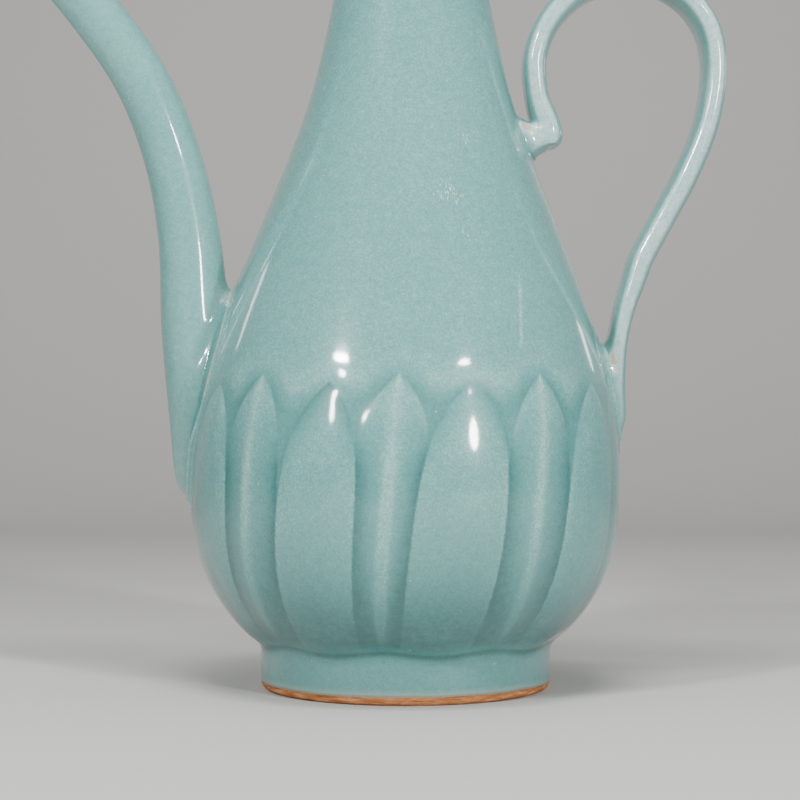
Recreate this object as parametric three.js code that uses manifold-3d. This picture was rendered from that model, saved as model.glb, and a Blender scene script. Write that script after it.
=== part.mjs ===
// A celadon ewer of Korean form: a pear-shaped bottle on a turned foot ring, two ranks of
// lotus petals carved round its belly, a long curved spout, a looped strap handle and a lid.
// Millimetres, +Z up. The spout points to -X, the handle to +X.
import * as THREE from "three";
import { mergeVertices } from "three/addons/utils/BufferGeometryUtils.js";
import Module from "manifold-3d";

const wasm = await Module();
wasm.setup();

// Foot ring
const footHeight = 14;
const footRadius = 48;
const footWall = 7;
const footEdge = 1.8;

// Bottle outline. Heights on the bottle count from the foot joint up.
const jointRadius = 48.3;
const bellyHeight = 58;
const bellyRadius = 71.2;
const shoulderHeight = 136;
const shoulderRadius = 50.5;
const neckHeight = 191;
const neckRadius = 31.1;
const waistHeight = 242;
const waistRadius = 23.4;
const mouthHeight = 270;
const mouthRadius = 27;
const lowBellyFullness = 3.05;
const shoulderSlope = -0.39;
const neckSlope = -0.235;
const mouthSlope = 0.2;
const wall = 4.2;
const floorThickness = 5;
const bowlHeight = 98;
const neckJointHeight = 180;

// Carved lotus petals
const petalPairs = 9;
const frontPetalTip = 87.6;
const backPetalTip = 89.5;
const frontPetalHalf = THREE.MathUtils.degToRad(11.8);
const backPetalHalf = THREE.MathUtils.degToRad(10.8);
const petalTipLength = 11;
const petalTurn = THREE.MathUtils.degToRad(19);
const petalLean = THREE.MathUtils.degToRad(-5.5);
const petalCrown = 0.55;
const petalStep = 1.3;
const backOutlineDrop = 0.4;
const groundDepth = 1.1;
const groundReach = 7;

// Spout: stations of height, reach past the belly, half depth and half width of the tube
const spoutStations = [
  [46.5, -8.8, 5, 4.5],
  [54, -8.2, 12.8, 10],
  [76, -5.7, 13.2, 14.5],
  [106, -1.4, 11.6, 12.5],
  [135, 0.8, 10.4, 10.6],
  [161.7, 6.3, 9.6, 9.8],
  [188.3, 17, 9.1, 9.2],
  [215, 36, 8.7, 8.7],
  [235, 54.8, 7.9, 7.9],
  [248, 65.8, 7.2, 7.2],
];
const spoutWall = 2.8;
const spoutLip = 0.9;
const pourHoleRadius = 7;
const pourHoleHeight = 82;

// Handle: a strap from its heel beside the neck, round the loop and down to the belly
const strapThickness = 8.2;
const strapWidth = 21;
const strapEdge = 0.6;
const heelHeight = 166;
const heelReach = 10.5;
const loopRadius = 30;
const loopSkew = 1.6;
const loopAcross = 23.4;
const loopRise = 25.7;
const legBendRadius = 78;
const legLean = THREE.MathUtils.degToRad(28);
const legLength = 33;
const legSwell = 1.04;
// Tail of the strap: height, reach past the belly, share of thickness and of width
const tailStations = [
  [121, 4.6, 0.98, 1],
  [112, 1.7, 0.87, 1],
  [103, -0.3, 0.82, 1],
  [94, -1.8, 0.95, 0.97],
  [84, -3.1, 1.15, 0.9],
  [74, -3.4, 1.2, 0.72],
  [66, -3.6, 0.8, 0.35],
];
// Stub that carries the heel: reach past the neck, half height and half width
const stubStations = [
  [-8, 7.4, 11],
  [-1.5, 6.7, 10.2],
  [2.5, 4.6, 9.2],
  [heelReach - 0.5, 3.8, 8.8],
];

// Clay coil worked into the seams of spout and stub
const coilSize = 2.2;

// Lid
const lidOverhang = 1.4;
const lidEdgeHeight = 2.2;
const lidDome = 8;
const flangeDepth = 12;
const flangeWall = 2.6;
const flangeClearance = 0.9;
const knobRadius = 7;
const knobStem = 3.6;
const knobHeight = 14;

// Gap left between luted or resting pieces
const seatGap = 0.3;

// Facets
const turnedSides = 48;
const seatSides = 64;
const knobSides = 24;
const spoutCorners = 16;
const boreCorners = 14;
const strapCorners = 14;
const coilCorners = 12;
const holeCorners = 16;
const petalRings = 13;

const ringPitch = (2 * Math.PI) / petalPairs;
const halfPitch = ringPitch / 2;

// Radius of the plain outline at a height
function outerRadius(height) {
  if (height <= bellyHeight) {
    const below = Math.min(1 - height / bellyHeight, 1);
    return bellyRadius - (bellyRadius - jointRadius) * below ** lowBellyFullness;
  }
  const stations = [
    [bellyHeight, bellyRadius, 0],
    [shoulderHeight, shoulderRadius, shoulderSlope],
    [neckHeight, neckRadius, neckSlope],
    [waistHeight, waistRadius, 0],
    [mouthHeight, mouthRadius, mouthSlope],
  ];
  const upper = Math.max(1, stations.findIndex((station) => station[0] >= height));
  const [h0, r0, m0] = stations[upper - 1];
  const [h1, r1, m1] = stations[upper];
  const span = h1 - h0;
  const t = (height - h0) / span;
  const rise = t * t * (3 - 2 * t);
  const leave = t * (1 - t) ** 2;
  const arrive = t * t * (t - 1);
  return r0 + (r1 - r0) * rise + span * (m0 * leave + m1 * arrive);
}

const innerRadius = (height) => outerRadius(height) - wall;

// Half width, as an angle, of a petal at a distance below its tip
function petalWidth(below, half) {
  return below > 0 ? half * (1 - Math.exp(-below / petalTipLength)) : 0;
}

// Distance from a petal's outline to a point beside or above it
function besidePetal(away, below, half, radius) {
  const slant = 0.6;
  if (below <= 0) return Math.hypot(radius * away * slant, below);
  const beside = radius * (away - petalWidth(below, half));
  if (away >= half) return beside;
  const above = -petalTipLength * Math.log(1 - away / half) - below;
  return (beside * above) / Math.hypot(beside, above);
}

// Depth of the carving at an angle from the nearest front petal's middle, and a height
function petalRelief(away, height) {
  const toBack = halfPitch - away;
  const front = petalWidth(frontPetalTip - height, frontPetalHalf);
  const back = petalWidth(backPetalTip - height, backPetalHalf);
  if (away < front) return -petalCrown * (away / front) ** 2;
  if (toBack < back) {
    const room = halfPitch - front;
    const covered = THREE.MathUtils.smoothstep(back / room, 0.85, 1.05);
    const edge = THREE.MathUtils.lerp(backOutlineDrop, petalStep, covered);
    return -edge * (toBack / Math.min(back, room));
  }
  const radius = outerRadius(height);
  const toFront = besidePetal(away, frontPetalTip - height, frontPetalHalf, radius);
  const beyond = besidePetal(toBack, backPetalTip - height, backPetalHalf, radius);
  const near = Math.min(toFront, beyond);
  return -groundDepth * (1 - THREE.MathUtils.smoothstep(near, 0, groundReach));
}

// Angles, from a front petal's middle, of the lines of facets that follow the petals
function petalColumns(height) {
  const edge = petalWidth(frontPetalTip - height, frontPetalHalf);
  const foot = edge + halfPitch * 0.04;
  const back = Math.max(halfPitch - petalWidth(backPetalTip - height, backPetalHalf), foot);
  const behind = halfPitch - back;
  const followed = [
    0,
    edge * 0.55,
    edge,
    foot,
    back,
    back + behind / 2,
    halfPitch,
  ];
  const steps = followed.length - 1;
  const clear = THREE.MathUtils.smoothstep(height, frontPetalTip, bowlHeight);
  const even = 0.03 + 0.97 * clear;
  const half = followed.map((angle, i) => {
    return THREE.MathUtils.lerp(angle, (halfPitch * i) / steps, even);
  });
  const mirrored = half.slice(1, steps).reverse().map((angle) => -angle);
  return [...mirrored, ...half];
}

// Points of an outline between two heights, as radius and height
function outlinePoints(radiusAt, from, to, steps) {
  return Array.from({ length: steps + 1 }, (_, i) => {
    const height = from + ((to - from) * i) / steps;
    return new THREE.Vector2(radiusAt(height), height);
  });
}

// A turned piece: a profile of radius and height swept round the Z axis
function turned(profile, sides = turnedSides) {
  return new THREE.LatheGeometry(profile, sides).rotateX(Math.PI / 2);
}

// Rings of points joined into a skin, with a fan from a middle point at each end
function skinned(rings, firstMiddle, lastMiddle) {
  const count = rings[0].length;
  const points = [...rings.flat(), firstMiddle, lastMiddle];
  const indices = [];
  const start = rings.length * count;
  for (let k = 0; k < count; k += 1) {
    const next = (k + 1) % count;
    for (let i = 0; i + 1 < rings.length; i += 1) {
      const a = i * count + k;
      const b = i * count + next;
      indices.push(a, b, a + count, b, b + count, a + count);
    }
    indices.push(start, next, k);
    indices.push(start + 1, start - count + k, start - count + next);
  }
  return new THREE.BufferGeometry().setFromPoints(points).setIndex(indices);
}

// A closed geometry as a solid to join and cut
function solidOf(geometry) {
  const bare = geometry.clone();
  bare.deleteAttribute("normal");
  bare.deleteAttribute("uv");
  const merged = mergeVertices(bare, 1e-3);
  return new wasm.Manifold(
    new wasm.Mesh({
      numProp: 3,
      vertProperties: merged.attributes.position.array,
      triVerts: new Uint32Array(merged.index.array),
    }),
  );
}

// A solid as a geometry for a mesh
function geometryOf(solid) {
  const mesh = solid.getMesh();
  return new THREE.BufferGeometry()
    .setAttribute("position", new THREE.BufferAttribute(mesh.vertProperties, 3))
    .setIndex(new THREE.BufferAttribute(mesh.triVerts, 1))
    .toNonIndexed();
}

// A tube through stations of x, height, half depth and half width. Its sections stand
// across the path; an edge below 1 squares them. The solid grows by the swell given.
function swept(stations, { steps = 3, corners = spoutCorners, edge = 1, swell = 0 }) {
  const centres = stations.map(([x, height]) => new THREE.Vector3(x, 0, height));
  const sizes = stations.map((station) => new THREE.Vector3(station[2], station[3], 0));
  const path = new THREE.CatmullRomCurve3(centres, false, "centripetal");
  const size = new THREE.CatmullRomCurve3(sizes, false, "catmullrom");
  const last = steps * (stations.length - 1);
  const rounded = (value) => Math.sign(value) * Math.abs(value) ** edge;
  const rings = Array.from({ length: last + 1 }, (_, i) => {
    const centre = path.getPoint(i / last);
    const along = path.getTangent(i / last);
    const { x: depth, y: width } = size.getPoint(i / last);
    return Array.from({ length: corners }, (__, k) => {
      const turn = (-2 * Math.PI * k) / corners;
      const across = (depth + swell) * rounded(Math.cos(turn));
      const sideways = (width + swell) * rounded(Math.sin(turn));
      return new THREE.Vector3(
        centre.x - along.z * across,
        sideways,
        centre.z + along.x * across,
      );
    });
  });
  return solidOf(skinned(rings, path.getPoint(0), path.getPoint(1)));
}

// The bottle's plain outside as a solid, grown by a swell, that luted pieces are cut by
function bottleOutside(swell) {
  const top = mouthHeight - 2;
  const profile = outlinePoints((height) => outerRadius(height) + swell, 0, top, 40);
  const foot = new THREE.Vector2(0, 0);
  return solidOf(turned([foot, ...profile, new THREE.Vector2(0, top)], seatSides));
}

function footRingGeometry() {
  const inner = footRadius - footWall;
  const profile = [
    new THREE.Vector2(inner - 0.8, 0),
    new THREE.Vector2(inner, 0.8 - footHeight),
    new THREE.Vector2(inner + 0.8, -footHeight),
    new THREE.Vector2(footRadius - footEdge, -footHeight),
    new THREE.Vector2(footRadius - footEdge * 0.25, footEdge * 1.3 - footHeight),
    new THREE.Vector2(footRadius, -0.62 * footHeight),
    new THREE.Vector2(footRadius - 0.3, -0.2 * footHeight),
    new THREE.Vector2(footRadius + 0.1, 0),
  ];
  return turned([...profile, profile[0].clone()]);
}

// Bowl with the petals carved into it and the pour hole behind the spout
function lowerBodyGeometry() {
  const rings = Math.round(petalRings);
  const risen = Array.from({ length: rings + 1 }, (_, i) => {
    return frontPetalTip * (1 - (1 - i / rings) ** 1.6);
  });
  const above = bowlHeight - backPetalTip;
  const plain = [0, 0.4, 1].map((share) => backPetalTip + above * share);
  const skin = [...risen, ...plain].map((height) => {
    const lean = petalLean * (1 - height / backPetalTip);
    const columns = petalColumns(height);
    return Array.from({ length: petalPairs * columns.length }, (_, k) => {
      const pair = Math.floor(k / columns.length);
      const away = columns[k % columns.length];
      const angle = petalTurn + lean + pair * ringPitch + away;
      const radius = outerRadius(height) + petalRelief(Math.abs(away), height);
      return new THREE.Vector3(radius * Math.sin(angle), -radius * Math.cos(angle), height);
    });
  });
  const bottom = new THREE.Vector3(0, 0, 0);
  const top = new THREE.Vector3(0, 0, bowlHeight);
  const cavity = outlinePoints(innerRadius, floorThickness, bowlHeight + 1, 8);
  const cavityProfile = [
    new THREE.Vector2(0, floorThickness),
    ...cavity,
    new THREE.Vector2(0, bowlHeight + 1),
  ];
  const hole = new THREE.CylinderGeometry(pourHoleRadius, pourHoleRadius, 6 * wall, holeCorners)
    .rotateZ(Math.PI / 2)
    .translate(-outerRadius(pourHoleHeight), 0, pourHoleHeight);
  const bowl = solidOf(skinned(skin, bottom, top));
  return geometryOf(bowl.subtract(solidOf(turned(cavityProfile))).subtract(solidOf(hole)));
}

// Shoulder, thrown as an open cone
function shoulderGeometry() {
  const profile = [
    ...outlinePoints(outerRadius, bowlHeight, neckJointHeight, 8),
    ...outlinePoints(innerRadius, neckJointHeight, bowlHeight, 5),
  ];
  return turned([...profile, profile[0].clone()]);
}

// Neck, up to the rounded lip of the mouth
function neckGeometry() {
  const lip = wall * 0.4;
  const profile = [
    ...outlinePoints(outerRadius, neckJointHeight, mouthHeight - lip, 7),
    new THREE.Vector2(mouthRadius - lip * 0.3, mouthHeight - lip * 0.3),
    new THREE.Vector2(mouthRadius - lip, mouthHeight),
    new THREE.Vector2(mouthRadius - wall + lip * 0.4, mouthHeight),
    ...outlinePoints(innerRadius, mouthHeight - lip, neckJointHeight, 5),
  ];
  return turned([...profile, profile[0].clone()]);
}

// Stations of the spout's middle line, with its root inside the belly
function spoutLine() {
  return spoutStations.map(([height, reach, depth, width]) => {
    return [-(bellyRadius + reach), height, depth, width];
  });
}

// A station further along the line that the last two stations give
function beyond(stations, distance, thinner) {
  const [x0, h0] = stations.at(-2);
  const [x1, h1, depth, width] = stations.at(-1);
  const share = distance / Math.hypot(x1 - x0, h1 - h0);
  const past = (from, to) => to + (to - from) * share;
  return [past(x0, x1), past(h0, h1), depth - thinner, width - thinner];
}

function spoutGeometry(bottle) {
  const line = spoutLine();
  const outer = swept([...line, beyond(line, spoutLip, spoutLip)], {});
  const inner = [...line, beyond(line, 3 * spoutLip, 0)];
  const bore = swept(inner, { corners: boreCorners, swell: -spoutWall });
  return geometryOf(outer.subtract(bore).subtract(bottle));
}

// Stations of the strap: heel, loop, leg and tail
function strapLine() {
  const thick = strapThickness / 2;
  const wide = strapWidth / 2;
  const heelX = outerRadius(heelHeight) + heelReach;
  const loopX = heelX + loopAcross;
  const loopHeight = heelHeight + loopRise;
  const start = THREE.MathUtils.degToRad(200);
  const turns = 8;
  const loop = Array.from({ length: turns + 1 }, (_, i) => {
    const angle = start * (1 - i / turns);
    const skewed = loopRadius * Math.sin(angle) + loopSkew * Math.cos(angle);
    return [loopX + loopRadius * Math.cos(angle), loopHeight + skewed, thick, wide];
  });
  const [sideX, sideHeight] = loop.at(-1);
  const bend = [0.5, 1].map((share) => {
    const angle = legLean * share;
    const inward = legBendRadius * (1 - Math.cos(angle));
    const down = legBendRadius * Math.sin(angle);
    return [sideX - inward, sideHeight - down, thick * (1 + (legSwell - 1) * share), wide];
  });
  const [legX, legHeight] = bend.at(-1);
  const leg = [0.5, 1].map((share) => {
    const along = legLength * share;
    const x = legX - along * Math.sin(legLean);
    return [x, legHeight - along * Math.cos(legLean), thick * legSwell, wide];
  });
  const tail = tailStations.map(([height, reach, thicker, wider]) => {
    return [bellyRadius + reach, height, thick * thicker, wide * wider];
  });
  return [
    [heelX - 0.4, heelHeight - 1, thick * 0.55, wide * 0.92],
    [heelX - 0.6, heelHeight + 1.4, thick * 0.98, wide],
    [heelX - 2.2, heelHeight + 7.3, thick * 0.88, wide],
    ...loop,
    ...bend,
    ...leg,
    ...tail,
  ];
}
function stubLine() {
  const neck = outerRadius(heelHeight);
  return stubStations.map(([reach, tall, wide]) => [neck + reach, heelHeight + 1, tall, wide]);
}

// Coil in the seam where a piece meets the bottle
function coilGeometry(line, bottle) {
  const swollen = swept(line, { corners: coilCorners, swell: coilSize });
  const around = swollen.intersect(bottleOutside(coilSize));
  return geometryOf(around.subtract(swept(line, { swell: seatGap })).subtract(bottle));
}

function lidCapGeometry() {
  const edge = mouthRadius + lidOverhang;
  const inside = innerRadius(mouthHeight - flangeDepth) - flangeClearance - flangeWall;
  const crown = [0.84, 0.6, 0.36].map((share) => {
    const rise = (lidDome - lidEdgeHeight) * Math.sqrt(1 - share ** 2);
    return new THREE.Vector2(edge * share, lidEdgeHeight + rise);
  });
  const hollow = (lidDome - lidEdgeHeight) * 0.5;
  return turned([
    new THREE.Vector2(0, hollow),
    new THREE.Vector2(inside * 0.6, hollow * 0.8),
    new THREE.Vector2(inside, 0),
    new THREE.Vector2(edge - lidEdgeHeight * 0.4, 0),
    new THREE.Vector2(edge, lidEdgeHeight * 0.5),
    new THREE.Vector2(edge - lidEdgeHeight * 0.2, lidEdgeHeight),
    ...crown,
    new THREE.Vector2(knobStem + 1.6, lidDome),
    new THREE.Vector2(0, lidDome),
  ]);
}

function lidFlangeGeometry() {
  const outer = innerRadius(mouthHeight - flangeDepth) - flangeClearance;
  const profile = [
    new THREE.Vector2(outer - flangeWall, 0),
    new THREE.Vector2(outer - flangeWall, -flangeDepth),
    new THREE.Vector2(outer - flangeWall * 0.4, -flangeDepth),
    new THREE.Vector2(outer, -flangeDepth + flangeWall * 0.4),
    new THREE.Vector2(outer, 0),
  ];
  return turned([...profile, profile[0].clone()]);
}

function lidKnobGeometry() {
  const bud = [
    [0.14, knobStem],
    [0.34, knobRadius * 0.84],
    [0.52, knobRadius],
    [0.7, knobRadius * 0.86],
    [0.87, knobRadius * 0.45],
  ];
  return turned(
    [
      new THREE.Vector2(0, lidDome),
      new THREE.Vector2(knobStem + 1, lidDome),
      ...bud.map(([share, radius]) => new THREE.Vector2(radius, lidDome + knobHeight * share)),
      new THREE.Vector2(0, lidDome + knobHeight),
    ],
    knobSides,
  );
}

const celadon = "#9dbbb7";
const paleCeladon = "#b4c9c3";
const deepCeladon = "#7f9f9b";

function piece(name, geometry, colour) {
  const glaze = new THREE.MeshStandardMaterial({ color: colour, roughness: 0.12, metalness: 0 });
  const mesh = new THREE.Mesh(geometry, glaze);
  mesh.name = name;
  return mesh;
}

const bottle = bottleOutside(seatGap);
const strapShape = { steps: 2, corners: strapCorners, edge: strapEdge };
const strap = swept(strapLine(), strapShape);
const strapRoom = swept(strapLine(), { ...strapShape, swell: seatGap });
const stub = swept(stubLine(), { corners: strapCorners });

const lid = new THREE.Group();
lid.position.z = mouthHeight + seatGap;
lid.add(
  piece("lid_cap", lidCapGeometry(), celadon),
  piece("lid_flange", lidFlangeGeometry(), celadon),
  piece("lid_knob", lidKnobGeometry(), celadon),
);

const ewer = new THREE.Group();
ewer.add(
  piece("foot_ring", footRingGeometry(), deepCeladon),
  piece("lower_body", lowerBodyGeometry(), deepCeladon),
  piece("shoulder", shoulderGeometry(), celadon),
  piece("neck", neckGeometry(), celadon),
  piece("spout", spoutGeometry(bottle), celadon),
  piece("spout_luting_coil", coilGeometry(spoutLine(), bottle), celadon),
  piece("handle_strap", geometryOf(strap.subtract(bottle)), paleCeladon),
  piece("handle_stub", geometryOf(stub.subtract(bottle).subtract(strapRoom)), paleCeladon),
  piece("stub_luting_coil", coilGeometry(stubLine(), bottle), paleCeladon),
  lid,
);

// The origin lies at table level, midway between the spout's tip and the handle
ewer.position.z = footHeight;
ewer.updateMatrixWorld(true);
const extent = new THREE.Box3().setFromObject(ewer);
ewer.position.x = -(extent.min.x + extent.max.x) / 2;

export default ewer;
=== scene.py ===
"""Looks of the celadon ewer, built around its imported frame.

Lengths are millimetres measured from the bottle's axis and, for heights, from the joint
between foot ring and bowl; place() turns them into metres in the row frame.
"""

import math

import bpy
import numpy as np
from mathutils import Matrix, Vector


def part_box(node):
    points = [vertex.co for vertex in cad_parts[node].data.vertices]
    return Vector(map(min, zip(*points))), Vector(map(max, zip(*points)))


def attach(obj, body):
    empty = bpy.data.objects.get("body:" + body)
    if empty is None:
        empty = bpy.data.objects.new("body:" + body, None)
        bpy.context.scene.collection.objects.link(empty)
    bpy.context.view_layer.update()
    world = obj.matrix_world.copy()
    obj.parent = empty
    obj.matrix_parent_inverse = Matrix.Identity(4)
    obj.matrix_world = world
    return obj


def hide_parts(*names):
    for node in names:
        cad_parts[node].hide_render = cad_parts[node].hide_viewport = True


MM = 0.001
FOOT_HEIGHT = 14.0

# Bottle outline
JOINT_RADIUS = 48.3
BELLY_HEIGHT = 58.0
BELLY_RADIUS = 71.2
MOUTH_HEIGHT = 270.0
MOUTH_RADIUS = 27.0
LOW_BELLY_FULLNESS = 3.05
CREASE_HEIGHT = 2.2
CREASE_SPAN = 10.0
CREASE_WAVE = 0.65
CREASE_WAVE_REACH = 6.25
CREASE_BEND = 0.64
OUTLINE = [
    (BELLY_HEIGHT, BELLY_RADIUS, 0.0),
    (136.0, 50.5, -0.39),
    (191.0, 31.1, -0.235),
    (242.0, 23.4, 0.0),
    (MOUTH_HEIGHT, MOUTH_RADIUS, 0.2),
]
WALL = 4.2
FLOOR = 5.0
FOOT_RADIUS = 48.0
FOOT_WALL = 7.0
FOOT_EDGE = 2.3
FOOT_EDGE_TALLER = 1.4
FOOT_GLAZE = 0.1
FOOT_FILLET = (3, 7)
BASE_OVERLAP = 0.4
NECK_LEAN = 2.0
LEANING = (40, 215)

# Carved lotus petals
PETAL_PAIRS = 9
HALF_PITCH = math.pi / PETAL_PAIRS
FRONT_TIP = 86.9
BACK_TIP = 89.5
FRONT_HALF = math.radians(11.8)
BACK_HALF = math.radians(10.8)
TIP_LENGTH = 11.0
PETAL_TURN = math.radians(18)
PETAL_LEAN = math.radians(-6.2)
PETAL_CROWN = 0.55
TIP_WIDTH = 0.65
TIP_RISE = 15.0
PETAL_STEP = 1.3
BACK_OUTLINE_DROP = 0.4
VALLEY_START = 4.0
VALLEY_LENGTH = 34.0
VALLEY_ROUNDING = 0.95
GROUND_DEPTH = 1.5
GROUND_SPREAD = 6.0
GROUND_COVER = (0.02, 0.5)
GROUND_POOL = 0.6
PETAL_FOOT = 9.0
WORKED_ANGLES = (math.radians(22), math.radians(42))
WORKED_SHARE = 0.5

# How each front petal strays from a regular ring: turn at its tip, turn at its foot and
# added half width in degrees, and how low its tip was carved
STRAYING = [
    (-0.4, -1.9, 0.3, 0.55),
    (2.2, 1.2, 0.1, 0.2),
    (0.4, -0.6, -0.2, 0.4),
    (0.7, 0.9, 0.2, 0.1),
    (-0.6, 0.3, 0.1, 0.3),
    (0.3, -0.8, -0.3, 0.2),
    (-0.4, -0.6, 0.2, 0.4),
    (0.5, 0.1, -0.2, 0.1),
    (1.6, 1.2, -0.8, 1.05),
]

# Spout: stations of height, reach past the belly, half depth and half width
SPOUT_STATIONS = [
    (46.5, -8.8, 5, 4.5),
    (54, -8.2, 12.8, 10),
    (76, -5.7, 13.2, 14.5),
    (106, -1.4, 11.6, 12.5),
    (135, 0.8, 10.4, 10.6),
    (161.7, 6.3, 9.6, 9.8),
    (188.3, 17, 9.1, 9.2),
    (215, 36, 8.7, 8.7),
    (235, 54.8, 7.9, 7.9),
    (248, 65.8, 7.2, 7.2),
]
SPOUT_WALL = 2.8
SPOUT_LIP = 0.9

# Handle. Stations of its heel: how far back and up, and shares of thickness and width
STRAP_THICKNESS = 8.2
STRAP_WIDTH = 21.0
STRAP_EDGE = 0.74
HEEL_HEIGHT = 166.0
HEEL_REACH = 7.9
HEEL_STATIONS = [
    (0.4, -0.6, 0.7, 0.9),
    (0.5, 1.2, 1.08, 0.97),
    (0.8, 3.6, 1.17, 1),
    (1.6, 7.3, 1.11, 1),
    (3.2, 11.3, 1.08, 1),
]
LOOP_RADIUS = 30.0
LOOP_SKEW = 1.6
LOOP_ACROSS = 24.3
LOOP_RISE = 25.7
LOOP_START = math.radians(195)
LOOP_PARTS = 8
LOOP_START_THICKNESS = 0.98
LEG_BEND_RADIUS = 78.0
LEG_LEAN = math.radians(28)
LEG_LENGTH = 33.0
LEG_SWELL = 1.04

# Tail of the strap: height, reach past the belly, and shares of thickness and width
TAIL_STATIONS = [
    (121, 4.6, 0.98, 1),
    (112, 1.7, 0.87, 1),
    (103, -0.3, 0.82, 1),
    (94, -1.8, 0.95, 0.97),
    (84, -2.8, 1.15, 0.9),
    (76, -2.9, 1.2, 0.78),
    (70.5, -3.6, 0.85, 0.42),
]

# Stub: reach past the neck, rise, half height and half width
STUB_HEIGHT = 168.3
STUB_EDGE = 0.66
STUB_STATIONS = [
    (-8, -1.3, 6.9, 10.6),
    (-1.5, -0.9, 6.3, 10.4),
    (2.5, -0.4, 5.6, 10.2),
    (HEEL_REACH - 0.5, 0.0, 4.1, 10.0),
]

# How far the clay was worked smooth where pieces meet
SPOUT_BLEND = 6.0
STRAP_BLEND = 5.0
STUB_BLEND = 3.6
FILLET_REACH = 0.29
FILLET_STEPS = 14
FILLET_EASE = 0.8
LUTED_HALF_WIDTH = 34.0

# Lid
LID_SEAT = 0.3
LID_OVERHANG = 1.4
LID_EDGE_HEIGHT = 2.2
LID_DOME = 8.0
FLANGE_DEPTH = 12.0
FLANGE_WALL = 2.6
FLANGE_CLEARANCE = 0.9
KNOB_RADIUS = 7.0
KNOB_STEM = 3.6
KNOB_HEIGHT = 14.0

# Glaze on the carving: how far it levels the clay, how wide its pools spread and how much
# each of them counts. A depth of 0 is the usual one, and it is below 0 where glaze is thin
GLAZE_LEVELLING = 1.7
GLAZE_FILL = 0.6
NARROW_POOL = 1.7
NARROW_SHARE = 0.65
WIDE_POOL = 4.0
WIDE_SHARE = 0.95
RELIEF_SHARE = 0.45
CORNER_POOL = 1.2
POOL_BEND = 1.45
POOL_GAIN = 1.25
THIN_GAIN = 3.3
THINNEST = -0.75
POOL_KNEE = 1.1
POOL_ROOM = 0.8

# Glaze that ran down, partly painted shade: added depth, and the heights between which it fades
# or gathers
LOW_POOL_AND_SHADE = 0.75
LOW_POOL_AND_SHADE_FADE = (-4, 80)
HEEL_POOL_AND_SHADE = 1.2
HEEL_POOL_AND_SHADE_HEIGHT = 9
HEEL_POOL_AND_SHADE_SPREAD = 13
HEEL_POOL_AND_SHADE_START = (2, 7)

# Depth of the glaze on lips, insides, handle and worked corners. How far the strap's skin faces
# sideways tells its sides and its arrises; the strap's inner and outer faces get deeper glaze as
# painted shade
LIP_GLAZE = -0.5
INSIDE_GLAZE = 0.1
BORE_GLAZE = 0.2
SPOUT_GLAZE = 0.05
STRAP_GLAZE_AND_SHADE = 0.55
STRAP_SIDE = (0.35, 0.85)
STRAP_SIDE_THINNING_AND_SHADE = 0.95
ARRIS_RISE = (0.45, 0.75)
ARRIS_FALL = (0.82, 0.99)
ARRIS_THINNING = 0.15
FILLET_POOL = 0.4
LUTED_POOL = 0.5
LUTED_POOL_REACH = 2.2
KNOB_FOOT_POOL = 0.4

# Raised lines of slip beside the seams: added distance, height and width
SEAM_LINES = [
    (0.0, 0.75, 0.75),
    (2.3, 0.42, 0.5),
    (4.7, 0.3, 0.55),
]
SEAM_LINE_START = (0.4, 1.6)
SEAM_LINE_THINNING = 1.25
SEAM_POOL = 0.5
SEAM_POOL_END = (-1.5, 0.3)

# How far from the spout's and strap's surfaces the first line runs, by height
SPOUT_SEAM = [(66, 1.4), (77, 4), (87, 6.3), (101, 7.6), (112, 4.6), (119, 2.4)]
STRAP_SEAM = [(66, 1.8), (95, 2.2), (110, 1.6)]

# Spots where the glaze ran thin and the clay shows through: x, y, height, size and share
THIN_SPOTS = [
    (-57.0, -7.0, 115.3, 4.6, 1.0),
    (38.2, -10.0, 171.0, 2.9, 0.85),
    (67.9, -10.0, 96.0, 1.4, 0.4),
    (68.1, -10.0, 93.5, 1.5, 0.5),
    (68.5, -10.0, 90.5, 1.3, 0.45),
]
BOTTLE_SPOT_THINNING = 1.1
SPOUT_SPOT_THINNING = 0.7
HANDLE_SPOT_THINNING = 1.6

# Places where wear left pale scratches, written the same way, and the worn side
WORN_SPOTS = [
    (19.5, -35.0, 164.0, 6.0, 0.85),
    (13.5, -45.0, 147.0, 7.0, 0.95),
    (20.0, -47.0, 133.0, 9.0, 0.7),
]
MOST_WORN = 1.35
WORN_EDGE_FROM = 106.0
WORN_EDGE_TO = 162.0
WORN_EDGE_Y = -12.5
WORN_EDGE_WIDTH = 4.5
WORN_EDGE_SHARE = 1.1
WORN_EDGE_THINNING = 0.78
HAIRLINE_X = 35.5
HAIRLINE_WIDTH = 0.5
HAIRLINE_FROM = 98.0
HAIRLINE_TO = 120.0
HAIRLINE_SHARE = 0.6

# Mesh fineness
COLUMNS = 900
COARSE_COLUMNS = 450
LID_COLUMNS = 225
ROW_STEP = 0.45
COARSE_ROWS = 175
INSIDE_ROWS = 70
CARVED_TOP = 110.0
CARVED_FADE = 8.0
SPOUT_CORNERS = 144
SPOUT_ROWS = 360
BORE_ROWS = 60
BORE_END = 0.3
HANDLE_CORNERS = 72
STRAP_ROWS = 500
STUB_ROWS = 60
HANDLE_VOXEL = 0.55
HANDLE_SMOOTHING = 10
DOME_ROWS = 40
KNOB_ROWS = 60
POINTS_AT_ONCE = 20000

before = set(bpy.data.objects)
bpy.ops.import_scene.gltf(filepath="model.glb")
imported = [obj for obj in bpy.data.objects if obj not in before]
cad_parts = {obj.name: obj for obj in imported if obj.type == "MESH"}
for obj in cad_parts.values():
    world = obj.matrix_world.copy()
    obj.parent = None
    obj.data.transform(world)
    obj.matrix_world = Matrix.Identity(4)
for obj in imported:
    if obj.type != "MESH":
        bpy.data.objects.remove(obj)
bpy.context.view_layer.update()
neck_low, neck_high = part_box("neck")
AXIS_X = (neck_low.x + neck_high.x) / 2


def smoothstep(value, low, high):
    t = np.clip((value - low) / (high - low), 0, 1)
    return t * t * (3 - 2 * t)


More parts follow.
